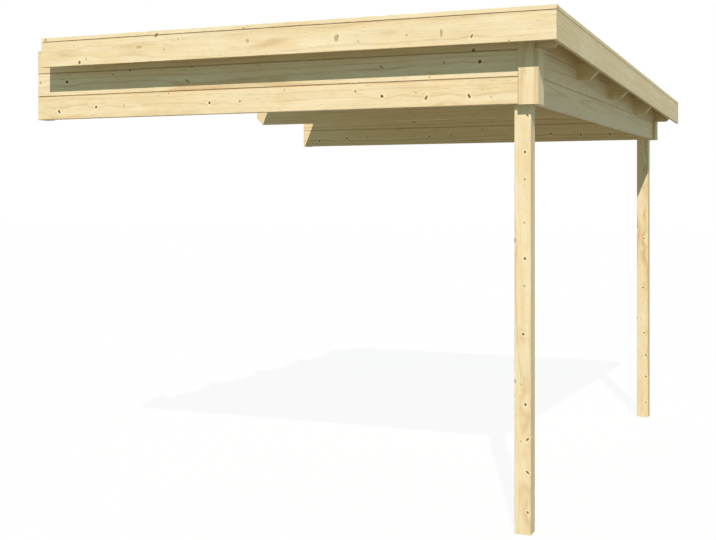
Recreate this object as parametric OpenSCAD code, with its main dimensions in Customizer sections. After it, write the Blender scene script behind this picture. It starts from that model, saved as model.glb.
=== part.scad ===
// Lean-to roof extension for a timber garden building.
// Two posts carry the outer corner of a low, felt-ready board roof. Short plank walls hang round
// its head, and the left end is screwed to the wall of the building that it extends.
// Building directions: x runs out from the house wall, y runs from the front wall to the rear
// wall, z runs up from the ground. The origin is the middle of the front batten's face on the
// house wall, and every piece is moved there by timber().

/* [Building] */
// Length of the front and rear walls, from the house wall to the outer corner
wall_len = 2530; // [2000:10:3200]
// Depth over the outer faces of the front and rear walls
depth = 3070; // [2400:10:3600]
// Clear height from the ground to the underside of the walls
clear_h = 1800; // [1600:10:2200]

/* [Wall planks and posts] */
// Cover height of one wall plank, which is also the fall of the roof
plank_h = 114; // [100:1:135]
// Thickness of the wall planks
wall_t = 28; // [24:1:40]
// Side of the square posts
post_w = 70; // [60:1:95]
// Side of the square battens that are screwed to the house wall
batten_w = 45; // [35:1:60]

/* [Roof] */
// Thickness of the purlins between the walls
purlin_t = 28; // [24:1:60]
// Height of the purlins between the walls
purlin_h = 142; // [120:1:170]
// Size of the corners cut off under the ends of these purlins
purlin_cut = 42; // [20:1:60]
// Size of the corner cut off under the free ends of the walls' top courses
top_cut = 25; // [10:1:50]
// Thickness of the roof boards
deck_t = 20; // [16:1:28]
// Number of roof boards side by side
deck_boards = 22; // [18:1:28]
// Distance from the house wall to the left edge of the roof
roof_inset = 115; // [40:1:200]
// Overhang past the front wall
front_overhang = 120; // [90:1:200]
// Overhang past the rear wall
rear_overhang = 236; // [120:1:300]
// Overhang past the side wall
side_overhang = 117; // [90:1:200]

/* [Fascias and trims] */
// Height of the fascias at the front and down the side
fascia_h = 124; // [110:1:150]
// Height of the fascia at the eaves, behind the rear wall
eaves_h = 70; // [50:1:85]
// Thickness of the fascias
fascia_t = 16; // [14:1:24]
// Thickness of the cover strips on the roof's edge
strip_t = 18; // [12:1:22]
// Width of the cover strips
strip_w = 45; // [35:1:70]
// Thickness of the corner trims
trim_t = 16; // [14:1:22]
// Width of the corner trims that lie on the front and rear walls
trim_w = 70; // [50:1:95]
// Width of the corner trims that lie on the side wall
side_trim_w = 94; // [70:1:120]
// How far the corner trims hang below the wall planks
trim_drop = 4; // [0:1:12]

/* [Hidden] */
wood = "#E9D7A8";
wood_shade = "#DCC793";
pitch = atan(plank_h / depth);
wall_top = clear_h + 3 * plank_h;
trim_foot = clear_h - trim_drop;
rear_inner = depth - wall_t;
side_inner = wall_len - wall_t;
purlin_step = (depth - wall_t) / 4;
purlin_gap = 4;
deck_v = deck_t / cos(pitch);
strip_v = strip_t / cos(pitch);
roof_right = wall_len + side_overhang;
roof_front = -front_overhang;
roof_rear = depth + rear_overhang;
deck_right = roof_right - fascia_t;
deck_front = roof_front + fascia_t;
deck_rear = roof_rear - fascia_t;
deck_w = (deck_right - roof_inset) / deck_boards;
strip_joint = 402;
strip_gap = 2;
strip_seam = 3;
arris = 3;
edge = 1;
joint_gap = 1;
tongue_w = 10;
tongue_h = 8;
tongue_play = 0.4;
deck_arris = 1.5;
deck_tongue = 5;
spare = 20;
far = 400;
origin = [0, wall_t + batten_w / 2, clear_h + 1.5 * plank_h];

// Height of the roof boards' underside over a point y, and the place of each middle purlin.
function roof_z(y) = wall_top - y * tan(pitch);
function purlin_y(n) = wall_t + (n - 1) * purlin_step;
function purlin_z(n) = roof_z(purlin_y(n) + purlin_t / 2) - purlin_h;

// Colours a piece and moves it from the building's corner to the part's origin.
module timber(shade = wood) {
    color(shade) translate(-origin) children();
}

// A 2D profile in y and z, drawn out along x from x0 to x1.
module along_x(x0, x1) {
    translate([x0, 0, 0]) rotate([90, 0, 90]) linear_extrude(x1 - x0) children();
}

// A 2D profile in x and z, drawn out along y from y0 to y1.
module along_y(y0, y1) {
    translate([0, y1, 0]) rotate([90, 0, 0]) linear_extrude(y1 - y0) children();
}

// A 2D profile drawn out down the roof's slope, with plumb cuts at y0 and y1. Its x is the
// building's x, and its y is the height above the roof boards' underside.
module along_slope(y0, y1) {
    intersection() {
        translate([0, 0, wall_top]) rotate([-pitch, 0, 0]) along_y(y0 - far, y1 + far) children();
        translate([-far, y0, 0]) cube([roof_right + 2 * far, y1 - y0, 2 * wall_top]);
    }
}

// A rectangle with its four corners bevelled.
module bevelled(x0, z0, w, h) {
    x1 = x0 + w;
    z1 = z0 + h;
    polygon([[x0 + edge, z0], [x1 - edge, z0], [x1, z0 + edge], [x1, z1 - edge],
        [x1 - edge, z1], [x0 + edge, z1], [x0, z1 - edge], [x0, z0 + edge]]);
}

// Section of a wall plank from z0 up, with its weather face at 0 and its room face at wall_t.
// Bevelled long edges make a V joint. The planks bear on each other at the room side, and stay
// joint_gap apart at the weather side.
module plank_section(z0, h, tongue = true, groove = true) {
    mid = wall_t / 2;
    root = tongue_w / 2;
    tip = root - 1;
    foot = groove ? arris : edge;
    top = z0 + h;
    lip = top - joint_gap;
    difference() {
        union() {
            polygon([[foot, z0], [wall_t - foot, z0], [wall_t, z0 + foot], [wall_t, top - arris],
                [wall_t - arris, top], [mid, top], [mid, lip], [arris, lip], [0, lip - arris],
                [0, z0 + foot]]);
            if (tongue)
                polygon([[mid - root, lip - 1], [mid + root, lip - 1],
                    [mid + tip, top + tongue_h], [mid - tip, top + tongue_h]]);
        }
        if (groove)
            polygon([[mid - root - tongue_play, z0 - 1], [mid + root + tongue_play, z0 - 1],
                [mid + tip + tongue_play, z0 + tongue_h + 1],
                [mid - tip - tongue_play, z0 + tongue_h + 1]]);
    }
}

// Turns a section round, so that its weather face lies at a and its room face below a.
module faced(a) {
    translate([a, 0]) mirror([1, 0]) children();
}

// Outline of a purlin from the front, with the lower corners cut off at 45 degrees. A left cut
// of 0 leaves that end square.
module purlin_outline(x0, x1, z0, z1, cut, left_cut) {
    left = left_cut > 0 ? [[x0, z0 + left_cut], [x0 + left_cut, z0]] : [[x0, z0]];
    polygon(concat(left, [[x1 - cut, z0], [x1, z0 + cut], [x1, z1], [x0, z1]]));
}

// Trims a piece to what lies under the roof boards between y0 and y1.
module under_roof(y0, y1, z0) {
    intersection() {
        children();
        along_x(-far, roof_right + far)
            polygon([[y0, z0], [y1, z0], [y1, roof_z(y1)], [y0, roof_z(y0)]]);
    }
}

// A square post on the ground, in a corner of the walls, up to the roof boards.
module post(y0) {
    timber() under_roof(y0, y0 + post_w, 0)
        translate([side_inner - post_w, y0, 0]) linear_extrude(wall_top)
            bevelled(0, 0, post_w, post_w);
}
module front_post() { post(wall_t); }
module rear_post() { post(rear_inner - post_w); }

// A long wall plank in course n, counted from the bottom.
module long_plank(n) {
    plank_section(clear_h + (n - 1) * plank_h, plank_h, groove = n > 1);
}
module front_wall_plank_1() { timber() along_x(0, wall_len) long_plank(1); }
module front_wall_plank_2() { timber() along_x(0, wall_len) long_plank(2); }
module rear_wall_plank_1() { timber() along_x(0, wall_len) faced(depth) long_plank(1); }

// The top course of a long wall, from z0 up, with its section as children. It runs on past the
// side wall to carry the overhang.
module top_purlin(y0, z0) {
    timber() under_roof(y0, y0 + wall_t, z0) intersection() {
        along_x(0, deck_right) children();
        along_y(y0, y0 + wall_t)
            purlin_outline(0, deck_right, z0, z0 + plank_h + spare, top_cut, 0);
    }
}
module front_top_purlin() {
    z0 = clear_h + 2 * plank_h;
    top_purlin(0, z0) plank_section(z0, plank_h + spare, tongue = false);
}
module rear_top_purlin() {
    z0 = clear_h + plank_h;
    top_purlin(rear_inner, z0) faced(depth) plank_section(z0, plank_h + spare, tongue = false);
}

// A purlin between the walls. Its top follows the roof's slope.
module purlin(n) {
    y0 = purlin_y(n);
    z0 = purlin_z(n);
    timber() under_roof(y0, y0 + purlin_t, 0) intersection() {
        along_x(purlin_gap, deck_right) bevelled(y0, z0, purlin_t, purlin_h + spare);
        along_y(y0, y0 + purlin_t)
            purlin_outline(purlin_gap, deck_right, z0, z0 + purlin_h + spare, purlin_cut, purlin_cut);
    }
}
module purlin_2() { purlin(2); }
module purlin_3() { purlin(3); }
module purlin_4() { purlin(4); }

// The room that purlin n takes in the side wall.
module purlin_seat(n) {
    translate([side_inner - 1, purlin_y(n), purlin_z(n)])
        cube([wall_t + 2, purlin_t, purlin_h + far]);
}

// A side wall plank from y0 to y1, cut away where the purlins pass through.
module side_plank(y0, y1, z0, h, tongue, groove) {
    timber(wood_shade) under_roof(y0, y1, z0) difference() {
        along_y(y0, y1) faced(wall_len) plank_section(z0, h, tongue, groove);
        for (n = [2:4]) purlin_seat(n);
    }
}
module side_wall_plank_1() { side_plank(wall_t, rear_inner, clear_h, plank_h, true, false); }
module side_wall_plank_2_front() {
    side_plank(wall_t, purlin_y(4), clear_h + plank_h, plank_h, true, true);
}
module side_wall_plank_2_rear() {
    side_plank(purlin_y(4) + purlin_t, rear_inner, clear_h + plank_h, plank_h, false, true);
}

// The pieces over the second plank, one between each pair of purlins, cut to the roof's slope.
module side_infill(n) {
    y0 = n == 1 ? wall_t : purlin_y(n) + purlin_t;
    y1 = n == 4 ? rear_inner : purlin_y(n + 1);
    side_plank(y0, y1, clear_h + 2 * plank_h, plank_h + spare, false, n < 4);
}
module side_infill_1() { side_infill(1); }
module side_infill_2() { side_infill(2); }
module side_infill_3() { side_infill(3); }
module side_infill_4() { side_infill(4); }

// A batten behind the left end of a long wall, screwed to the house wall.
module batten(y0) {
    timber(wood_shade) under_roof(y0, y0 + batten_w, clear_h)
        translate([0, y0, clear_h]) linear_extrude(wall_top)
            bevelled(0, 0, batten_w, batten_w);
}
module front_batten() { batten(wall_t); }
module rear_batten() { batten(depth); }

// Section of one roof board: bevelled lower edges, a tongue on the right, a groove on the left.
module deck_section(i) {
    x0 = roof_inset + i * deck_w;
    z_mid = deck_t / 2;
    difference() {
        union() {
            polygon([[x0, deck_arris], [x0 + deck_arris, 0], [x0 + deck_w - deck_arris, 0],
                [x0 + deck_w, deck_arris], [x0 + deck_w, deck_t], [x0, deck_t]]);
            if (i < deck_boards - 1)
                translate([x0 + deck_w - 1, z_mid - deck_tongue / 2])
                    square([deck_tongue + 1, deck_tongue]);
        }
        if (i > 0)
            translate([x0 - 1, z_mid - deck_tongue / 2 - tongue_play / 2])
                square([deck_tongue + 1 + tongue_play, deck_tongue + tongue_play]);
    }
}

// Every second roof board, from board first on.
module roof_boards(first) {
    timber(wood_shade) along_slope(deck_front, deck_rear)
        for (i = [first:2:deck_boards - 1]) deck_section(i);
}
module roof_boards_odd() { roof_boards(0); }
module roof_boards_even() { roof_boards(1); }

// A fascia across the roof, h high and up to x1. Its top is bevelled to the slope of the boards,
// and a narrow seam stays under the cover strip.
module cross_fascia(y0, h, x1) {
    y1 = y0 + fascia_t;
    z0 = roof_z(y0) + deck_v - h;
    rise = deck_v - strip_seam;
    timber() along_x(roof_inset, x1)
        polygon([[y0 + edge, z0], [y1 - edge, z0], [y1, z0 + edge], [y1, roof_z(y1) + rise],
            [y0, roof_z(y0) + rise], [y0, z0 + edge]]);
}
module front_fascia() { cross_fascia(roof_front, fascia_h, roof_right); }
module rear_fascia() { cross_fascia(deck_rear, eaves_h, deck_right); }

// The side fascia runs down the slope, from the back of the front one to the rear edge.
module side_fascia() {
    foot = deck_t - fascia_h;
    rise = deck_t - strip_seam;
    timber(wood_shade) along_slope(deck_front, roof_rear)
        polygon([[deck_right, rise], [deck_right, foot + edge], [deck_right + edge, foot],
            [roof_right - edge, foot], [roof_right, foot + edge], [roof_right, rise]]);
}

// A cover strip across the roof, on the boards' edge and the fascia.
module cross_strip(y0) {
    y1 = y0 + strip_w;
    z0 = roof_z(y0) + deck_v;
    z1 = roof_z(y1) + deck_v;
    timber() along_x(roof_inset, roof_right)
        polygon([[y0, z0], [y1, z1], [y1, z1 + strip_v - edge], [y1 - edge, z1 + strip_v],
            [y0 + edge, z0 + strip_v], [y0, z0 + strip_v - edge]]);
}
module front_cover_strip() { cross_strip(roof_front); }
module rear_cover_strip() { cross_strip(roof_rear - strip_w); }

// The strip down the side comes in two lengths that meet at strip_joint.
module side_strip(y0, y1) {
    top = deck_t + strip_t;
    timber(wood_shade) along_slope(y0, y1)
        polygon([[roof_right - strip_w, deck_t], [roof_right, deck_t], [roof_right, top - edge],
            [roof_right - edge, top], [roof_right - strip_w + edge, top],
            [roof_right - strip_w, top - edge]]);
}
module side_cover_strip_front() { side_strip(roof_front + strip_w, strip_joint); }
module side_cover_strip_rear() {
    side_strip(strip_joint + strip_gap, roof_rear - strip_w);
}

// A corner trim on the face of a long wall, up to the roof boards.
module face_trim(y0) {
    timber() under_roof(y0, y0 + trim_t, trim_foot)
        translate([wall_len - trim_w, y0, trim_foot]) linear_extrude(wall_top)
            bevelled(0, 0, trim_w, trim_t);
}
module front_corner_trim_front() { face_trim(-trim_t); }
module rear_corner_trim_rear() { face_trim(depth); }

// A corner trim on the side wall. It covers the edge of the other trim and stops under the
// purlin that passes over it.
module side_trim(y0, top) {
    timber(wood_shade) translate([wall_len, y0, trim_foot]) linear_extrude(top - trim_foot)
        bevelled(0, 0, trim_t, side_trim_w);
}
module front_corner_trim_side() { side_trim(-trim_t, clear_h + 2 * plank_h); }
module rear_corner_trim_side() {
    side_trim(depth + trim_t - side_trim_w, clear_h + plank_h);
}

front_post();
rear_post();
front_wall_plank_1();
front_wall_plank_2();
front_top_purlin();
rear_wall_plank_1();
rear_top_purlin();
side_wall_plank_1();
side_wall_plank_2_front();
side_wall_plank_2_rear();
side_infill_1();
side_infill_2();
side_infill_3();
side_infill_4();
purlin_2();
purlin_3();
purlin_4();
front_batten();
rear_batten();
roof_boards_odd();
roof_boards_even();
front_fascia();
side_fascia();
rear_fascia();
front_cover_strip();
side_cover_strip_front();
side_cover_strip_rear();
rear_cover_strip();
front_corner_trim_front();
front_corner_trim_side();
rear_corner_trim_rear();
rear_corner_trim_side();
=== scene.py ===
"""A timber lean-to roof extension: two posts, short plank walls, purlins, a board roof and trims.

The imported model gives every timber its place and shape. This script gives each one its wood, adds
the nails and screws that hold it together, and sets up the floor, the light and the camera.
"""

import itertools
import math

import bpy
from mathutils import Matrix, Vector


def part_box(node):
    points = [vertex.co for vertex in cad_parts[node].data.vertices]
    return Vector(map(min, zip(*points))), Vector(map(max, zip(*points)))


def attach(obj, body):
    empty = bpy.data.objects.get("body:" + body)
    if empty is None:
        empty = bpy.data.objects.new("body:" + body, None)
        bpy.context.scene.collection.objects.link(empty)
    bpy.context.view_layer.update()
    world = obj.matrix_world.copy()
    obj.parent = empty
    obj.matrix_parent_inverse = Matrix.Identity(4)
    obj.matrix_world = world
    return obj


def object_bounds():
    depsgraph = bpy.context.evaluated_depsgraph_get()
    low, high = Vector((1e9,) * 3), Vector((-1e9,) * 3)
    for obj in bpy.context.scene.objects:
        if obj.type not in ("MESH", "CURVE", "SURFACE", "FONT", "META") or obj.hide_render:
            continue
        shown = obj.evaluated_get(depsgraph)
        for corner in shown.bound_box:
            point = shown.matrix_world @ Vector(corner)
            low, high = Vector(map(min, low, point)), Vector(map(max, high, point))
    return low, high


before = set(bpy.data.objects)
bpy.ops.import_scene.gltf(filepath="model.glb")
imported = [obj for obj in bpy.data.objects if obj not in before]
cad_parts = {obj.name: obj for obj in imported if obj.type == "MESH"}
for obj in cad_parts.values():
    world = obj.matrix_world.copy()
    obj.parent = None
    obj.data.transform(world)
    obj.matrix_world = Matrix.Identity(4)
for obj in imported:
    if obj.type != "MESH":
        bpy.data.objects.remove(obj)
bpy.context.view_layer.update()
scene = bpy.context.scene


# Battens. Two square battens of planed spruce, screwed to the house wall, take the left ends of
# the front and rear walls. The wood itself, which all the other timbers share, is defined here.
def linear(colour):
    """The linear RGBA of an sRGB colour written in hex."""
    parts = [int(colour[k : k + 2], 16) / 255 for k in (1, 3, 5)]
    return [c / 12.92 if c <= 0.04045 else ((c + 0.055) / 1.055) ** 2.4 for c in parts] + [1.0]


def add(tree, kind, inputs=None, **settings):
    """Adds a node. Settings are its properties. An input is a value, a socket or another node."""
    node = tree.nodes.new(kind)
    for name, value in settings.items():
        setattr(node, name, value)
    for key, value in (inputs or {}).items():
        named = [s for s in node.inputs if s.enabled and s.name == key]
        socket = named[0] if named else node.inputs[key]
        if isinstance(value, bpy.types.Node):
            value = next(s for s in value.outputs if s.enabled)
        if isinstance(value, bpy.types.NodeSocket):
            tree.links.new(value, socket)
        else:
            socket.default_value = value
    return node


# Untreated spruce is a pale greenish yellow with cream patches and faint tan latewood lines. Its
# knots are dark brown with a tan rim, in lighter wood. Its sawn ends are darker. Its narrow faces
# and arrises get a painted brown shade for the shade that falls in the joints between boards.
EARLYWOOD = "#EDDAAD"
CREAM = "#F4E8C5"
WARM = "#EACF9C"
LATEWOOD = "#CFB07A"
KNOT = "#5A4719"
KNOT_RIM = "#BC9A57"
PALE = "#F9EFCB"
END_GRAIN = "#CFB47E"
# painted shade for the joints between boards, laid on narrow faces and arrises
PAINTED_JOINT_SHADE = "#A98650"

# Sizes in the wood, in metres. What is too fine to show is drawn coarser.
RING = 0.007  # between latewood lines, three times the real ones
FIBRE = 0.005  # width of a streak of fibres, as coarse
# The arris strip below is painted darker, as painted shade for the joints.
ARRIS = 0.004  # the strip of a face that is darker along each arris
JOINT = 0.002  # the dark strip at a joint between boards
HEART = (0.04, 0.18)  # from a board to the heart of its log behind it, least and most
LOG = 90  # of log along which a board's pattern may start
WANDER = 0.05  # the room in which the heart wanders from side to side
RAG = 0.004  # how far a knot's outline is ragged
RAGS = 140.0  # to a metre of that outline
BRANCH = 0.04  # the depth in which a knot tapers away
SCATTER = (0.26, 0.08, 1.0)  # between scattered knots, along and across a board
SCATTERED = (0.0001, 0.008)  # half the width of the least and the biggest of them
SCATTERED_DARKNESS = 0.85
ALONE = 10.0  # between boards of a node that has only one: more than any board is wide

# How a knot, the paler wood round it and the bend of the grain fade, in half-widths from the
# middle: the last place where they are full, and the first where they are gone.
KNOT_FADE = (0.55, 1.3)
PALE_FADE = (1.0, 3.0)
BEND_FADE = (0.3, 3.0)
BEND_REACH = (4.0, 5 / 3)  # how much longer and wider than the knot the bend is

# How far the tone that is asked for, a board's own lot and a blotch move the colour.
TONE, LOT, BLOTCH = 0.12, 0.05, 0.17
NEXT_SEED = 17.3  # from one seed's board numbers to the next one's, so that no two are alike


def spruce(node, order, seed, knots=(), scattered=0.0, tone=0.0, spacing=ALONE, slope=0.0, joint_shade=0.0):
    """Gives a CAD node its own spruce.

    order names the axes along the grain, across the board and through it. knots lists the knots
    that go through the board, from its lowest corner: millimetres along and across, length,
    width, turn in degrees, and darkness. scattered is the share of places that get one more.
    tone goes from -1, a warm board, to 1, a cream one. spacing is the distance between the boards
    of a node that has every second one, twice the width of a board. slope turns the board round x.
    joint_shade is how strong the painted brown shade is on its narrow faces and arrises, where the joints
    fall.
    """
    low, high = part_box(node)
    axes = ["xyz".index(letter) for letter in order]
    width = min((high - low)[axes[1]], spacing)
    material = bpy.data.materials.new(f"spruce_{node}")
    material.use_nodes = True
    tree = material.node_tree
    shader = tree.nodes["Principled BSDF"]

    # Place in the board, in metres from its corner: along the grain, across and through.
    corner = (low.x, low.y, low.z + (high.y - low.y) * math.tan(slope))
    object_place = add(tree, "ShaderNodeTexCoord")
    turned = add(
        tree,
        "ShaderNodeMapping",
        {"Vector": object_place.outputs["Object"], "Location": corner, "Rotation": (-slope, 0, 0)},
        vector_type="TEXTURE",
    )
    split = add(tree, "ShaderNodeSeparateXYZ", {0: turned})
    along, across, through = (split.outputs[axis] for axis in axes)
    board = add(tree, "ShaderNodeMath", {0: across, 1: spacing}, operation="DIVIDE")
    board = add(tree, "ShaderNodeMath", {0: board}, operation="FLOOR")
    across = add(tree, "ShaderNodeMath", {0: across, 1: spacing}, operation="FLOORED_MODULO")
    place = add(tree, "ShaderNodeCombineXYZ", {0: along, 1: across, 2: through})

    # Each board comes from another log, with the heart behind it, a tenth to nine tenths across.
    number = add(tree, "ShaderNodeMath", {0: board, 1: NEXT_SEED * seed}, operation="ADD")
    chance = add(tree, "ShaderNodeTexWhiteNoise", {"W": number}, noise_dimensions="1D")
    heart = add(
        tree,
        "ShaderNodeMapRange",
        {
            "Vector": chance.outputs["Color"],
            "To Min": (0, -0.1 * width, -HEART[0]),
            "To Max": (LOG, -0.9 * width, -HEART[1]),
        },
        data_type="FLOAT_VECTOR",
    )
    log = add(tree, "ShaderNodeVectorMath", {0: place, 1: heart}, operation="ADD")

    # Knots: branches that cross the board. Their outline is a little ragged.
    ragged = add(tree, "ShaderNodeTexNoise", {"Vector": log, "Scale": RAGS, "Detail": 2.0})
    ragged = add(
        tree,
        "ShaderNodeVectorMath",
        {0: ragged.outputs["Color"], 1: (0.5, 0.5, 0.5)},
        operation="SUBTRACT",
    )
    ragged = add(tree, "ShaderNodeVectorMath", {0: ragged, "Scale": RAG}, operation="SCALE")
    rough_place = add(tree, "ShaderNodeVectorMath", {0: place, 1: ragged}, operation="ADD")
    spots = []
    for x, y, length, breadth, turn, darkness in knots:
        middle = (x / 1000, y / 1000, 0)
        half_length = length / 2000
        half_breadth = breadth / 2000
        spot = add(
            tree,
            "ShaderNodeMapping",
            {
                "Vector": rough_place,
                "Location": middle,
                "Rotation": (0, 0, math.radians(turn)),
                "Scale": (half_length, half_breadth, BRANCH),
            },
            vector_type="TEXTURE",
        )
        reach = max(half_length, half_breadth)
        flow = add(
            tree,
            "ShaderNodeMapping",
            {
                "Vector": place,
                "Location": middle,
                "Scale": (BEND_REACH[0] * reach, BEND_REACH[1] * reach, BRANCH),
            },
            vector_type="TEXTURE",
        )
        spots.append((spot, flow, darkness))

    # Scattered knots: one in each cell of a grid, of its own size, and none in most cells.
    if scattered:
        cells = add(tree, "ShaderNodeVectorMath", {0: log, 1: SCATTER}, operation="DIVIDE")
        branch = add(
            tree, "ShaderNodeTexVoronoi", {"Vector": cells, "Scale": 1.0}, voronoi_dimensions="2D"
        )
        gap = add(
            tree, "ShaderNodeVectorMath", {0: cells, 1: branch.outputs["Position"]}, operation="SUBTRACT"
        )
        gap = add(tree, "ShaderNodeVectorMath", {0: gap, 1: (*SCATTER[:2], 0)}, operation="MULTIPLY")
        gap = add(tree, "ShaderNodeVectorMath", {0: gap, 1: ragged}, operation="ADD")
        gap = add(tree, "ShaderNodeVectorMath", {0: gap, 1: (1, 1, 0)}, operation="MULTIPLY")
        draw = add(tree, "ShaderNodeSeparateXYZ", {0: branch.outputs["Color"]})
        size = add(
            tree,
            "ShaderNodeMapRange",
            {
                "Value": draw.outputs["X"],
                "From Min": 1 - scattered,
                "To Min": SCATTERED[0],
                "To Max": SCATTERED[1],
            },
        )
        spot = add(tree, "ShaderNodeVectorMath", {0: gap, 1: size}, operation="DIVIDE")
        flow = add(
            tree,
            "ShaderNodeVectorMath",
            {0: spot, 1: (1 / BEND_REACH[0], 1 / BEND_REACH[1], 0)},
            operation="MULTIPLY",
        )
        spots.append((spot, flow, SCATTERED_DARKNESS))

    # How much of a knot, of paler wood and of a bend in the grain each place has.
    knot = halo = bend = 0.0
    for spot, flow, darkness in spots:
        distance = add(tree, "ShaderNodeVectorMath", {0: spot}, operation="LENGTH")
        brown = add(
            tree,
            "ShaderNodeMapRange",
            {
                "Value": distance,
                "From Min": KNOT_FADE[0],
                "From Max": KNOT_FADE[1],
                "To Min": darkness,
                "To Max": 0,
            },
        )
        knot = add(tree, "ShaderNodeMath", {0: brown, 1: knot}, operation="MAXIMUM")
        light = add(
            tree,
            "ShaderNodeMapRange",
            {
                "Value": distance,
                "From Min": PALE_FADE[0],
                "From Max": PALE_FADE[1],
                "To Min": darkness,
                "To Max": 0,
            },
            interpolation_type="SMOOTHSTEP",
        )
        halo = add(tree, "ShaderNodeMath", {0: light, 1: halo}, operation="MAXIMUM")
        distance = add(tree, "ShaderNodeVectorMath", {0: flow}, operation="LENGTH")
        pushed = add(
            tree,
            "ShaderNodeMapRange",
            {
                "Value": distance,
                "From Min": BEND_FADE[0],
                "From Max": BEND_FADE[1],
                "To Min": darkness**0.5,
                "To Max": 0,
            },
            interpolation_type="SMOOTHSTEP",
        )
        bend = add(tree, "ShaderNodeMath", {0: pushed, 1: bend}, operation="MAXIMUM")

    # Year rings of uneven width round the heart, which wanders along the log. They bend round
    # the knots.
    wander = add(tree, "ShaderNodeVectorMath", {0: log, 1: (0.6, 2.0, 2.0)}, operation="MULTIPLY")
    wander = add(tree, "ShaderNodeTexNoise", {"Vector": wander, "Scale": 1.0, "Detail": 3.0})
    wander = add(
        tree,
        "ShaderNodeVectorMath",
        {0: wander.outputs["Color"], 1: (0.5, 0.5, 0.5)},
        operation="SUBTRACT",
    )
    wander = add(tree, "ShaderNodeVectorMath", {0: wander, 1: (0, WANDER, WANDER)}, operation="MULTIPLY")
    radius = add(tree, "ShaderNodeVectorMath", {0: log, 1: wander}, operation="ADD")
    radius = add(tree, "ShaderNodeVectorMath", {0: radius, 1: (0, 1, 1)}, operation="MULTIPLY")
    radius = add(tree, "ShaderNodeVectorMath", {0: radius}, operation="LENGTH")
    years = add(tree, "ShaderNodeMath", {0: radius, 1: RING}, operation="DIVIDE")
    years = add(tree, "ShaderNodeMath", {0: bend, 1: 0.5, 2: years}, operation="MULTIPLY_ADD")
    rings = add(
        tree, "ShaderNodeTexNoise", {"W": years, "Scale": 1.0, "Detail": 3.0}, noise_dimensions="1D"
    )
    latewood = add(tree, "ShaderNodeMapRange", {"Value": rings, "From Min": 0.5, "From Max": 0.74})

    # Streaks of fibres, slow drifts and smaller blotches of the colour, and short tan flecks: for
    # each, the waves to a metre along and across the log, the detail and the roughness.
    noise = {}
    for pattern, lengthwise, crosswise, detail, roughness in (
        ("streak", 4.0, 0.5 / FIBRE, 3.0, 0.5),
        ("drift", 2.2, 15.0, 3.0, 0.6),
        ("blotch", 12.0, 16.0, 2.0, 0.5),
        ("fleck", 25.0, 250.0, 1.0, 0.5),
    ):
        waves = (lengthwise, crosswise, crosswise)
        stretched = add(tree, "ShaderNodeVectorMath", {0: log, 1: waves}, operation="MULTIPLY")
        noise[pattern] = add(
            tree,
            "ShaderNodeTexNoise",
            {"Vector": stretched, "Scale": 1.0, "Detail": detail, "Roughness": roughness},
        )
    lot = add(
        tree,
        "ShaderNodeMapRange",
        {"Value": chance.outputs["Value"], "To Min": TONE * tone - LOT, "To Max": TONE * tone + LOT},
    )
    blotch = add(
        tree, "ShaderNodeMapRange", {"Value": noise["blotch"], "To Min": -BLOTCH, "To Max": BLOTCH}
    )
    drift = add(tree, "ShaderNodeMath", {0: noise["drift"], 1: lot}, operation="ADD")
    drift = add(tree, "ShaderNodeMath", {0: drift, 1: blotch}, operation="ADD")

    # The wood in layers, each with how much of it shows. A high drift is cream, a low one is warm
    # and has stronger latewood, and latewood is stronger where it bends round a knot.
    cream = add(
        tree, "ShaderNodeMapRange", {"Value": drift, "From Min": 0.47, "From Max": 0.72, "To Max": 0.7}
    )
    warm = add(
        tree, "ShaderNodeMapRange", {"Value": drift, "From Min": 0.5, "From Max": 0.28, "To Max": 0.35}
    )
    fine = add(
        tree,
        "ShaderNodeMapRange",
        {"Value": drift, "From Min": 0.65, "From Max": 0.35, "To Min": 0.27, "To Max": 0.72},
    )
    fine = add(tree, "ShaderNodeMath", {0: bend, 1: 0.3, 2: fine}, operation="MULTIPLY_ADD")
    fine = add(tree, "ShaderNodeMath", {0: latewood, 1: fine}, operation="MULTIPLY", use_clamp=True)
    fleck = add(
        tree,
        "ShaderNodeMapRange",
        {"Value": noise["fleck"], "From Min": 0.62, "From Max": 0.8, "To Max": 0.7},
    )
    wood = linear(EARLYWOOD)
    for share, colour in ((cream, CREAM), (warm, WARM), (fine, LATEWOOD), (fleck, LATEWOOD)):
        layer = {"Factor": share, "A": wood, "B": linear(colour)}
        wood = add(tree, "ShaderNodeMix", layer, data_type="RGBA")
    shade = add(
        tree,
        "ShaderNodeMapRange",
        {"Value": noise["streak"], "From Min": 0.3, "From Max": 0.7, "To Min": 0.95, "To Max": 1.04},
    )
    wood = add(tree, "ShaderNodeVectorMath", {0: wood, "Scale": shade}, operation="SCALE")

    # Over it lie the knots, in paler wood and with a tan rim.
    paler = add(tree, "ShaderNodeMath", {0: halo, 1: 1.6}, operation="POWER")
    rim = add(tree, "ShaderNodeMath", {0: knot, 1: 1.7}, operation="MULTIPLY", use_clamp=True)
    core = add(tree, "ShaderNodeMath", {0: knot, 1: 2.2}, operation="POWER")
    layers = [(paler, PALE), (rim, KNOT_RIM), (core, KNOT)]

    # Where boards lie side by side, the joint between two of them is a dark line.
    if spacing < ALONE:
        half = spacing / 4
        side = add(tree, "ShaderNodeMath", {0: across, 1: -half}, operation="ADD")
        side = add(tree, "ShaderNodeMath", {0: side}, operation="ABSOLUTE")
        joint = add(
            tree,
            "ShaderNodeMapRange",
            {"Value": side, "From Min": half - JOINT, "From Max": half, "To Max": 0.8},
        )
        layers.append((joint, KNOT))
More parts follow.
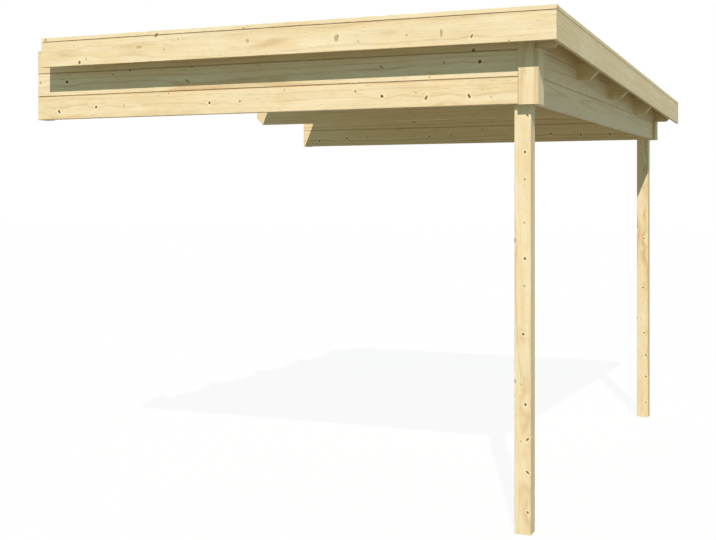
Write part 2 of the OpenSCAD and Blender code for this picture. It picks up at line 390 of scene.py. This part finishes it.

    # Sawn ends drink more and are darker. The narrow faces in the joints and the arrises get painted
    # shade for the shade that falls in the joints.
    facing = add(tree, "ShaderNodeSeparateXYZ", {0: object_place.outputs["Normal"]})
    end = add(tree, "ShaderNodeMath", {0: facing.outputs[axes[0]]}, operation="ABSOLUTE")
    end = add(
        tree, "ShaderNodeMapRange", {"Value": end, "From Min": 0.85, "From Max": 0.95, "To Max": 0.5}
    )
    narrow = add(tree, "ShaderNodeMath", {0: facing.outputs[axes[1]]}, operation="ABSOLUTE")
    narrow = add(
        tree, "ShaderNodeMapRange", {"Value": narrow, "From Min": 0.4, "From Max": 0.6, "To Max": joint_shade}
    )
    half = width / 2
    arris = add(tree, "ShaderNodeMath", {0: across, 1: -half}, operation="ADD")
    arris = add(tree, "ShaderNodeMath", {0: arris}, operation="ABSOLUTE")
    arris = add(
        tree,
        "ShaderNodeMapRange",
        {"Value": arris, "From Min": half - ARRIS, "From Max": half - ARRIS / 3, "To Max": joint_shade},
    )
    painted_shade = add(tree, "ShaderNodeMath", {0: narrow, 1: arris}, operation="MAXIMUM")
    layers += [(end, END_GRAIN), (painted_shade, PAINTED_JOINT_SHADE)]
    for share, colour in layers:
        layer = {"Factor": share, "A": wood, "B": linear(colour)}
        wood = add(tree, "ShaderNodeMix", layer, data_type="RGBA")
    tree.links.new(wood.outputs[2], shader.inputs["Base Color"])

    # Planed softwood: a dull satin, with the latewood standing a hair proud.
    shader.inputs["Roughness"].default_value = 0.62
    shader.inputs["Specular IOR Level"].default_value = 0.3
    height = add(
        tree, "ShaderNodeMath", {0: noise["streak"], 1: 0.6, 2: latewood}, operation="MULTIPLY_ADD"
    )
    relief = add(tree, "ShaderNodeBump", {"Height": height, "Strength": 0.25, "Distance": 0.0008})
    tree.links.new(relief.outputs[0], shader.inputs["Normal"])

    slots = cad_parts[node].data.materials
    slots.clear()
    slots.append(material)


spruce("front_batten", "zxy", 18, scattered=0.3)
spruce("rear_batten", "zxy", 19, scattered=0.3)


# Zinc-plated steel nails and screws: a grey metal, cloudy where the coat is thicker.
STEEL = "#B7B6B0"
CLOUDS = 400.0  # to a metre
zinc = bpy.data.materials.new("zinc_plated_steel")
zinc.use_nodes = True
tree = zinc.node_tree
plate = tree.nodes["Principled BSDF"]
plate.inputs["Base Color"].default_value = linear(STEEL)
plate.inputs["Metallic"].default_value = 1.0
place = add(tree, "ShaderNodeTexCoord")
cloud = add(
    tree, "ShaderNodeTexNoise", {"Vector": place.outputs["Object"], "Scale": CLOUDS, "Detail": 2.0}
)
dull = add(tree, "ShaderNodeMapRange", {"Value": cloud, "To Min": 0.3, "To Max": 0.6})
tree.links.new(dull.outputs[0], plate.inputs["Roughness"])


# A head's shape, in shares of its own radius and thickness.
SHANK = 0.5  # radius where the head joins the shank
RECESS, LOBE = 0.42, 0.09  # middle radius of a screw's recess, and how far its lobes reach
RECESS_DEPTH = 0.7
LOBES = 6.0


def head_rows(recessed):
    """Geometry Nodes for rows of heads: nails, or screws with a six-lobed recess for the driver."""
    tree = bpy.data.node_groups.new("screw_heads" if recessed else "nail_heads", "GeometryNodeTree")
    for label, kind in (
        ("Start", "Vector"),
        ("Step", "Vector"),
        ("Count", "Int"),
        ("Row Step", "Vector"),
        ("Rows", "Int"),
        ("Turn", "Vector"),
        ("Width", "Float"),
        ("Thickness", "Float"),
        ("Proud", "Float"),
        ("Stray", "Vector"),
        ("Seed", "Int"),
        ("Metal", "Material"),
    ):
        tree.interface.new_socket(label, in_out="INPUT", socket_type="NodeSocket" + kind)
    tree.interface.new_socket("Heads", in_out="OUTPUT", socket_type="NodeSocketGeometry")
    put = add(tree, "NodeGroupInput").outputs

    # One head, tapered to its shank below. It faces up, and its top is Proud over z = 0.
    radius = add(tree, "ShaderNodeMath", {0: put["Width"], 1: 0.5}, operation="MULTIPLY")
    shank = add(tree, "ShaderNodeMath", {0: radius, 1: SHANK}, operation="MULTIPLY")
    cone = add(
        tree,
        "GeometryNodeMeshCone",
        {"Vertices": 24, "Radius Top": radius, "Radius Bottom": shank, "Depth": put["Thickness"]},
    )
    head = cone.outputs["Mesh"]
    if recessed:
        inner = add(
            tree,
            "GeometryNodeExtrudeMesh",
            {"Mesh": head, "Selection": cone.outputs["Top"], "Offset Scale": 0.0, "Individual": False},
        )
        here = add(tree, "GeometryNodeInputPosition")
        split = add(tree, "ShaderNodeSeparateXYZ", {0: here})
        angle = add(
            tree,
            "ShaderNodeMath",
            {0: split.outputs["Y"], 1: split.outputs["X"]},
            operation="ARCTAN2",
        )
        angle = add(tree, "ShaderNodeMath", {0: angle, 1: LOBES}, operation="MULTIPLY")
        lobe = add(tree, "ShaderNodeMath", {0: angle}, operation="COSINE")
        lobe = add(tree, "ShaderNodeMath", {0: lobe, 1: LOBE, 2: RECESS}, operation="MULTIPLY_ADD")
        shrink = add(tree, "ShaderNodeCombineXYZ", {"X": lobe, "Y": lobe, "Z": 1.0})
        drawn = add(tree, "ShaderNodeVectorMath", {0: here, 1: shrink}, operation="MULTIPLY")
        star = add(
            tree,
            "GeometryNodeSetPosition",
            {"Geometry": inner.outputs["Mesh"], "Selection": inner.outputs["Top"], "Position": drawn},
        )
        sink = add(tree, "ShaderNodeMath", {0: put["Thickness"], 1: -RECESS_DEPTH}, operation="MULTIPLY")
        head = add(
            tree,
            "GeometryNodeExtrudeMesh",
            {"Mesh": star, "Selection": inner.outputs["Top"], "Offset Scale": sink, "Individual": False},
        )
    drop = add(tree, "ShaderNodeMath", {0: put["Proud"], 1: put["Thickness"]}, operation="SUBTRACT")
    drop = add(tree, "ShaderNodeCombineXYZ", {"Z": drop})
    head = add(tree, "GeometryNodeTransform", {"Geometry": head, "Translation": drop})

    # The places, each a little out of line, and the heads on them, each at its own angle.
    row = add(
        tree,
        "GeometryNodeMeshLine",
        {"Count": put["Count"], "Start Location": put["Start"], "Offset": put["Step"]},
    )
    starts = add(tree, "GeometryNodeMeshLine", {"Count": put["Rows"], "Offset": put["Row Step"]})
    places = add(tree, "GeometryNodeInstanceOnPoints", {"Points": starts, "Instance": row})
    places = add(tree, "GeometryNodeRealizeInstances", {"Geometry": places})
    back = add(tree, "ShaderNodeVectorMath", {0: put["Stray"], "Scale": -1.0}, operation="SCALE")
    stray = add(
        tree,
        "FunctionNodeRandomValue",
        {"Min": back, "Max": put["Stray"], "Seed": put["Seed"]},
        data_type="FLOAT_VECTOR",
    )
    places = add(tree, "GeometryNodeSetPosition", {"Geometry": places, "Offset": stray})
    twist = add(tree, "FunctionNodeRandomValue", {"Max": math.tau, "Seed": put["Seed"]}, data_type="FLOAT")
    twist = add(tree, "ShaderNodeCombineXYZ", {"Z": twist})
    twist = add(tree, "FunctionNodeEulerToRotation", {0: twist})
    turn = add(tree, "FunctionNodeEulerToRotation", {0: put["Turn"]})
    turn = add(
        tree,
        "FunctionNodeRotateRotation",
        {"Rotation": turn, "Rotate By": twist},
        rotation_space="LOCAL",
    )
    heads = add(
        tree, "GeometryNodeInstanceOnPoints", {"Points": places, "Instance": head, "Rotation": turn}
    )
    heads = add(tree, "GeometryNodeRealizeInstances", {"Geometry": heads})
    heads = add(tree, "GeometryNodeSetMaterial", {"Geometry": heads, "Material": put["Metal"]})
    add(tree, "NodeGroupOutput", {"Heads": heads})
    return tree


screw_heads = head_rows(True)
nail_heads = head_rows(False)
seeds = itertools.count(1)  # a fixed one for each piece of heads


def fix(name, heads, start, step, count, facing, row_step=(0, 0, 0), rows=1, stray=(0, 0, 0), **sizes):
    """Makes a piece of count heads from start on, a step apart, in rows that are row_step apart.

    facing is the way the heads look. stray is how far they may be out of line, either way. sizes
    are a head's Width, Thickness and Proud, how far it stands out of the wood.
    """
    values = {
        "Start": start,
        "Step": step,
        "Count": count,
        "Row Step": row_step,
        "Rows": rows,
        "Turn": Vector(facing).to_track_quat("Z", "Y").to_euler(),
        "Stray": stray,
        "Seed": next(seeds),
        "Metal": zinc,
        **sizes,
    }
    piece = bpy.data.objects.new(name, bpy.data.meshes.new(name))
    scene.collection.objects.link(piece)
    modifier = piece.modifiers.new("heads", "NODES")
    modifier.node_group = heads
    for item in heads.interface.items_tree:
        if item.in_out == "INPUT":
            modifier[item.identifier] = values[item.name]
    made = piece.evaluated_get(bpy.context.evaluated_depsgraph_get())
    piece.data = bpy.data.meshes.new_from_object(made)
    piece.data.materials.pop(index=0)  # the empty slot in front of the zinc
    piece.modifiers.clear()
    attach(piece, "root")


# Countersunk screws of 6 mm, their heads a hair over the wood. They go through the battens into the
# house wall, and from behind into each plank.
SCREW = {"Width": 0.011, "Thickness": 0.004, "Proud": 0.0002}
BATTEN_END = 0.03  # metres from a batten's end to its first screw
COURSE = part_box("front_wall_plank_2")[0].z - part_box("front_wall_plank_1")[0].z  # a plank's cover
for end, courses in (("front", 3), ("rear", 2)):
    low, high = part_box(f"{end}_batten")
    middle = (low + high) / 2
    fix(
        f"{end}_batten_wall_screws",
        screw_heads,
        (high.x, middle.y, low.z + BATTEN_END),
        (0, 0, (high.z - low.z - 2 * BATTEN_END) / courses),
        courses + 1,
        (1, 0, 0),
        **SCREW,
    )
    fix(
        f"{end}_batten_plank_screws",
        screw_heads,
        (middle.x, high.y, low.z + COURSE / 2),
        (0, 0, COURSE),
        courses,
        (0, 1, 0),
        **SCREW,
    )


# Posts. Two square posts of planed spruce stand on the ground in the outer corners of the walls.
# They are screwed to the planks. Both show the pith side of the log, with a row of small knots.
POST_KNOTS = (
    (95, 57, 8, 15, 35, 0.85),
    (262, 57, 9, 19, 35, 0.9),
    (400, 57, 9, 18, -35, 0.85),
    (390, 28, 6, 14, 35, 0.4),
    (545, 48, 13, 11, 0, 0.95),
    (628, 28, 6, 16, 35, 0.4),
    (640, 4, 19, 8, 0, 0.45),
    (838, 38, 12, 11, 0, 1.0),
    (1040, 43, 8, 13, 0, 0.45),
    (1155, 45, 12, 11, 0, 1.0),
    (1230, 2, 24, 9, 0, 0.6),
    (1305, 43, 8, 13, 0, 0.45),
    (1485, 45, 12, 10, 0, 0.5),
    (1600, 46, 12, 11, 0, 1.0),
    (1752, 57, 7, 17, 35, 0.9),
)
spruce("front_post", "zxy", 33, knots=POST_KNOTS, tone=-0.2)
spruce("rear_post", "zxy", 2, knots=POST_KNOTS, tone=-0.3)

# Two screws a plank, from the posts' inner faces into the long walls and into the side wall.
SCREW_STRAY = 0.003  # metres that a screw may be out of line
CLEARANCE = 0.02  # metres by which the screws into the side wall pass over the others
for end, courses, inward in (("front", 3, 1), ("rear", 2, -1)):
    low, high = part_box(f"{end}_post")
    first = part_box(f"{end}_wall_plank_1")[0].z + COURSE / 2
    inset = (high.x - low.x) / 4
    face = high.y if inward > 0 else low.y
    fix(
        f"{end}_post_long_wall_screws",
        screw_heads,
        (low.x + inset, face, first),
        (2 * inset, 0, 0),
        2,
        (0, inward, 0),
        row_step=(0, 0, COURSE),
        rows=courses,
        stray=(SCREW_STRAY, 0, SCREW_STRAY),
        **SCREW,
    )
    fix(
        f"{end}_post_side_wall_screws",
        screw_heads,
        (low.x, low.y + inset, first + CLEARANCE),
        (0, 2 * inset, 0),
        2,
        (-1, 0, 0),
        row_step=(0, 0, COURSE),
        rows=courses,
        stray=(0, SCREW_STRAY, SCREW_STRAY),
        **SCREW,
    )


# Front and rear walls. Tongued planks with bevelled edges, stacked so that each joint shows as a
# V. The top course runs on past the side wall as a purlin with its lower corner cut off.
FIRST_COURSE_KNOTS = (
    (128, 38, 22, 12, -50, 0.95),
    (347, 53, 14, 14, 0, 1.0),
    (508, 55, 9, 15, 0, 0.5),
    (757, 105, 6, 14, 0, 0.6),
    (980, 53, 13, 13, 0, 1.0),
    (1140, 55, 13, 12, 0, 0.5),
    (1370, 97, 9, 16, 0, 0.35),
    (1718, 78, 15, 9, -40, 0.55),
    (1845, 53, 16, 13, -20, 1.0),
    (2003, 62, 9, 9, 0, 0.5),
    (2050, 40, 23, 11, 65, 0.9),
    (2243, 40, 21, 11, -60, 0.95),
    (2303, 63, 7, 7, 0, 0.4),
    (2340, 32, 9, 9, 0, 0.4),
)
SECOND_COURSE_KNOTS = (
    (15, 70, 16, 9, -30, 0.6),
    (175, 68, 18, 16, 0, 1.0),
    (383, 81, 8, 7, 0, 0.3),
    (445, 94, 14, 10, 0, 0.5),
    (542, 110, 16, 12, 0, 0.7),
    (862, 44, 32, 15, -35, 0.45),
    (885, 112, 20, 12, 0, 0.5),
    (1500, 112, 10, 8, 0, 0.5),
    (1842, 66, 28, 10, -35, 0.5),
    (2065, 13, 7, 8, 0, 0.5),
    (2130, 72, 11, 15, 0, 0.45),
    (2290, 69, 17, 16, 0, 1.0),
)
THIRD_COURSE_KNOTS = ((2262, 4, 16, 16, 0, 0.9),)
spruce("front_wall_plank_1", "xzy", 3, knots=FIRST_COURSE_KNOTS, joint_shade=0.5)
spruce("front_wall_plank_2", "xzy", 4, knots=SECOND_COURSE_KNOTS, tone=0.8, joint_shade=0.5)
# The top course's warm tone is partly its own colour and partly painted shade for the deep shade under the
# fascia.
spruce("front_top_purlin", "xzy", 5, knots=THIRD_COURSE_KNOTS, tone=-1.3, joint_shade=0.25)
spruce("rear_wall_plank_1", "xzy", 6, knots=FIRST_COURSE_KNOTS, tone=-0.8, joint_shade=0.5)
spruce("rear_top_purlin", "xzy", 7, knots=SECOND_COURSE_KNOTS, tone=-0.8, joint_shade=0.5)


# Side wall. The same planks from corner to corner, screwed to both posts from inside. The upper
# ones are cut out for the purlins, and tapered pieces fill the gaps up to the sloping roof.
for seed, name in enumerate(
    ["side_wall_plank_1", "side_wall_plank_2_front", "side_wall_plank_2_rear"]
    + [f"side_infill_{k}" for k in (1, 2, 3, 4)],
    start=8,
):
    spruce(name, "yzx", seed, scattered=0.08, tone=-0.5, joint_shade=0.08)


# Purlins. Planed spruce boards on edge that lie in the side wall's cut-outs and carry the roof
# boards. Their tops follow the slope, and the lower corners are cut off at both ends.
for seed, name in enumerate(["purlin_2", "purlin_3", "purlin_4"], start=15):
    spruce(name, "xzy", seed, scattered=0.08, tone=-1.0)


# Roof boards. Tongued spruce boards, laid edge to edge down the slope and nailed to the purlins.
# They come in two nodes, each with every second board.
first_low, first_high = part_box("roof_boards_odd")
last_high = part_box("roof_boards_even")[1]
BOARDS = 22  # side by side, in both nodes together
board_cover = (last_high.x - first_low.x) / BOARDS
upper_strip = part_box("front_cover_strip")[0]
lower_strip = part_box("rear_cover_strip")[0]
pitch = math.atan((upper_strip.z - lower_strip.z) / (lower_strip.y - upper_strip.y))
spruce("roof_boards_odd", "yxz", 20, scattered=0.3, spacing=2 * board_cover, slope=pitch)
spruce("roof_boards_even", "yxz", 21, scattered=0.3, spacing=2 * board_cover, slope=pitch)

# Two wire nails go through each board into each purlin.
NAIL = {"Width": 0.006, "Thickness": 0.0015, "Proud": 0.0005}
NAIL_STRAY = (0.004, 0.005, 0)
fall = math.tan(pitch)
up = (0, math.sin(pitch), math.cos(pitch))
for name in ("front_top_purlin", "purlin_2", "purlin_3", "purlin_4", "rear_top_purlin"):
    low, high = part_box(name)
    y = (low.y + high.y) / 2
    fix(
        f"roof_nails_{name}",
        nail_heads,
        (first_low.x + board_cover / 4, y, first_high.z - fall * (y - first_low.y)),
        (board_cover / 2, 0, 0),
        2 * BOARDS,
        up,
        stray=NAIL_STRAY,
        **NAIL,
    )


# Fascias and cover strips. Planed spruce boards, pinned round the three free edges of the roof.
# Narrow strips, pinned down from above, cover the fascias' tops and the ends of the roof boards.
FASCIA_KNOTS = (
    (190, 97, 9, 15, 0, 0.25),
    (222, 15, 15, 18, 0, 0.85),
    (260, 30, 11, 10, 0, 0.35),
    (557, 71, 34, 16, 0, 0.35),
    (650, 119, 16, 14, 0, 0.8),
    (693, 54, 8, 18, 0, 0.45),
    (770, 98, 9, 8, 0, 0.5),
    (900, 35, 6, 12, 0, 0.25),
    (1130, 70, 18, 22, 20, 0.35),
    (1565, 58, 22, 34, 0, 0.4),
    (1572, 66, 8, 16, 0, 0.6),
    (1668, 38, 7, 17, 0, 0.45),
    (1890, 52, 16, 10, 0, 0.35),
    (2045, 52, 14, 36, 0, 0.4),
    (2042, 60, 6, 16, 0, 0.5),
    (2177, 33, 18, 9, 60, 0.85),
    (2335, 5, 10, 10, 0, 0.4),
)
spruce("front_fascia", "xzy", 22, knots=FASCIA_KNOTS, joint_shade=0.5)
spruce("rear_fascia", "xzy", 23, scattered=0.2, joint_shade=0.5)
STRIP_KNOTS = ((24, 10, 16, 14, 0, 0.5), (655, 4, 14, 10, 0, 0.8), (1112, 4, 16, 8, 0, 0.5))
spruce("front_cover_strip", "xzy", 24, knots=STRIP_KNOTS, tone=1.0)
spruce("rear_cover_strip", "xzy", 25)
for seed, name in enumerate(["side_fascia", "side_cover_strip_front", "side_cover_strip_rear"], start=26):
    spruce(name, "yzx", seed, tone=-0.7, slope=pitch)

# Lost-head pins hold them: two rows in each fascia, one along each cover strip.
PIN = {"Width": 0.0024, "Thickness": 0.001, "Proud": 0.0001}
PIN_SPACING = 0.3
MARGIN = 0.03  # from a board's end or edge to its first pin
STRAY_ALONG = 0.01  # metres that a pin may be out of line along a board
STRAY_ACROSS = 0.002  # and across it
STRIP_STRAY = 0.004  # and across a cover strip


def pin_steps(length):
    """The step from pin to pin along a board of this length, and their number."""
    steps = round(length / PIN_SPACING)
    return (length - 2 * MARGIN) / steps, steps + 1


for name, outward in (("front_fascia", -1), ("rear_fascia", 1)):
    low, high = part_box(name)
    step, count = pin_steps(high.x - low.x)
    fix(
        f"{name}_pins",
        nail_heads,
        (low.x + MARGIN, high.y if outward > 0 else low.y, low.z + MARGIN / 2),
        (step, 0, 0),
        count,
        (0, outward, 0),
        row_step=(0, 0, high.z - low.z - MARGIN),
        rows=2,
        stray=(STRAY_ALONG, 0, STRAY_ACROSS),
        **PIN,
    )
low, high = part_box("side_fascia")
step, count = pin_steps(high.y - low.y)
face = high.z - low.z - fall * (high.y - low.y)
fix(
    "side_fascia_pins",
    nail_heads,
    (high.x, low.y + MARGIN, high.z - fall * MARGIN - face + MARGIN / 2),
    (0, step, -fall * step),
    count,
    (1, 0, 0),
    row_step=(0, 0, face - MARGIN),
    rows=2,
    stray=(0, STRAY_ALONG, STRAY_ACROSS),
    **PIN,
)
for name in ("front_cover_strip", "rear_cover_strip"):
    low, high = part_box(name)
    step, count = pin_steps(high.x - low.x)
    middle = (high.y - low.y) / 2
    fix(
        f"{name}_pins",
        nail_heads,
        (low.x + MARGIN, low.y + middle, high.z - fall * middle),
        (step, 0, 0),
        count,
        up,
        stray=(STRAY_ALONG, STRIP_STRAY, 0),
        **PIN,
    )
for name in ("side_cover_strip_front", "side_cover_strip_rear"):
    low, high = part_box(name)
    step, count = pin_steps(high.y - low.y)
    fix(
        f"{name}_pins",
        nail_heads,
        ((low.x + high.x) / 2, low.y + MARGIN, high.z - fall * MARGIN),
        (0, step, -fall * step),
        count,
        up,
        stray=(STRIP_STRAY, 0, 0),
        **PIN,
    )


# Corner trims. Two planed spruce boards at each outer corner hide the ends of the wall planks. The
# one on the side wall covers the edge of the one on the long wall.
for seed, name in enumerate(["front_corner_trim_front", "rear_corner_trim_rear"], start=29):
    spruce(name, "zxy", seed, tone=-0.4, joint_shade=0.25)
for seed, name in enumerate(["front_corner_trim_side", "rear_corner_trim_side"], start=31):
    spruce(name, "zyx", seed, joint_shade=0.2)

# Two pins a plank hold them.
for name, outward in (("front_corner_trim_front", -1), ("rear_corner_trim_rear", 1)):
    low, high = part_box(name)
    fix(
        f"{name}_pins",
        nail_heads,
        (low.x + MARGIN / 2, high.y if outward > 0 else low.y, low.z + COURSE / 2),
        (high.x - low.x - MARGIN, 0, 0),
        2,
        (0, outward, 0),
        row_step=(0, 0, COURSE),
        rows=round((high.z - low.z) / COURSE),
        stray=(STRAY_ACROSS, 0, STRAY_ALONG),
        **PIN,
    )
for name in ("front_corner_trim_side", "rear_corner_trim_side"):
    low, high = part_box(name)
    fix(
        f"{name}_pins",
        nail_heads,
        (high.x, low.y + MARGIN, low.z + COURSE / 2),
        (0, high.y - low.y - 2 * MARGIN, 0),
        2,
        (1, 0, 0),
        row_step=(0, 0, COURSE),
        rows=round((high.z - low.z) / COURSE),
        stray=(0, STRAY_ACROSS, STRAY_ALONG),
        **PIN,
    )


# Floor. A pale studio floor that looks white to the camera and keeps a faint shadow. The light
# that it sends up is part of the surrounding light below.
FLOOR = 120  # metres wide, so that its edge is out of sight
SHADOW = 0.08  # the share of its white that a shadow can take away
low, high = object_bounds()
middle = (low + high) / 2
bpy.ops.mesh.primitive_plane_add(size=FLOOR, location=(middle.x, middle.y, low.z))
floor = bpy.context.object
floor.name = "floor"
floor.visible_diffuse = False
paper = bpy.data.materials.new("studio_floor")
paper.use_nodes = True
tree = paper.node_tree
tree.nodes.clear()
white = add(tree, "ShaderNodeEmission", {"Color": (1, 1, 1, 1), "Strength": 1.0})
shaded = add(tree, "ShaderNodeBsdfDiffuse", {"Color": (1, 1, 1, 1)})
surface = add(tree, "ShaderNodeMixShader", {0: SHADOW, 1: white, 2: shaded})
add(tree, "ShaderNodeOutputMaterial", {"Surface": surface})
floor.data.materials.append(paper)


# Light. Soft cool light from all round, brightest near the horizon, with the floor's warmer glow
# below it. A warm sun stands 40 degrees up at the front right, and a weak, very soft lamp 22 degrees
# up at the rear left, so that the rear isn't dull. The surroundings themselves look white.
AROUND = (  # sine of the height, and the light's linear colour
    (-1.0, (0.10, 0.05, 0.02)),
    (-0.45, (0.30, 0.32, 0.23)),
    (0.0, (0.345, 0.45, 0.42)),
    (0.25, (0.29, 0.435, 0.45)),
    (0.6, (0.15, 0.215, 0.255)),
    (1.0, (0.03, 0.04, 0.05)),
)
world = bpy.data.worlds.new("studio_light")
scene.world = world
world.use_nodes = True
tree = world.node_tree
tree.nodes.clear()
rays = add(tree, "ShaderNodeLightPath")
seen = add(
    tree,
    "ShaderNodeMath",
    {0: rays.outputs["Is Camera Ray"], 1: rays.outputs["Is Glossy Ray"]},
    operation="MAXIMUM",
)
seen = add(tree, "ShaderNodeMath", {0: seen, 1: rays.outputs["Is Transmission Ray"]}, operation="MAXIMUM")
way = add(tree, "ShaderNodeTexCoord")
height = add(tree, "ShaderNodeSeparateXYZ", {0: way.outputs["Generated"]})
height = add(tree, "ShaderNodeMapRange", {"Value": height.outputs["Z"], "From Min": -1.0})
ramp = add(tree, "ShaderNodeValToRGB", {"Fac": height})
while len(ramp.color_ramp.elements) < len(AROUND):
    ramp.color_ramp.elements.new(0.5)
for element, (sine, colour) in zip(ramp.color_ramp.elements, AROUND):
    element.position = (sine + 1) / 2
    element.color = (*colour, 1)
fill = add(tree, "ShaderNodeBackground", {"Color": ramp.outputs["Color"], "Strength": 1.0})
white = add(tree, "ShaderNodeBackground", {"Color": (1, 1, 1, 1), "Strength": 1.0})
both = add(tree, "ShaderNodeMixShader", {0: seen, 1: fill, 2: white})
add(tree, "ShaderNodeOutputWorld", {"Surface": both})

LAMPS = (  # name, strength, linear colour, width in degrees, and the way the light goes
    ("sun", 3.53, (1.0, 0.895, 0.848), 0.6, (-0.36, 1.0, -0.9)),
    ("rear_fill", 0.9, (0.93, 1.0, 0.97), 50.0, (0.55, -1.0, -0.45)),
)
for name, strength, colour, spread, light_way in LAMPS:
    lamp = bpy.data.lights.new(name, "SUN")
    lamp.energy = strength
    lamp.color = colour
    lamp.angle = math.radians(spread)
    light = bpy.data.objects.new(name, lamp)
    light.rotation_euler = Vector(light_way).to_track_quat("-Z", "Y").to_euler()
    scene.collection.objects.link(light)


# Camera. Level, 1.39 m over the ground, in front of the outer corner and turned towards the house
# wall.
EYE = (3.768, -4.830, -0.581)
TURN = 23.08  # degrees to the left of straight at the front wall
lens = bpy.data.cameras.new("camera")
lens.lens = 59.32  # millimetres, as is the sensor's width
lens.sensor_width = 36
lens.shift_y = -0.0946
lens.clip_end = 200
camera = bpy.data.objects.new("camera", lens)
camera.location = EYE
camera.rotation_euler = (math.radians(90), 0, math.radians(TURN))
scene.collection.objects.link(camera)
scene.camera = camera
scene.view_settings.view_transform = "Standard"
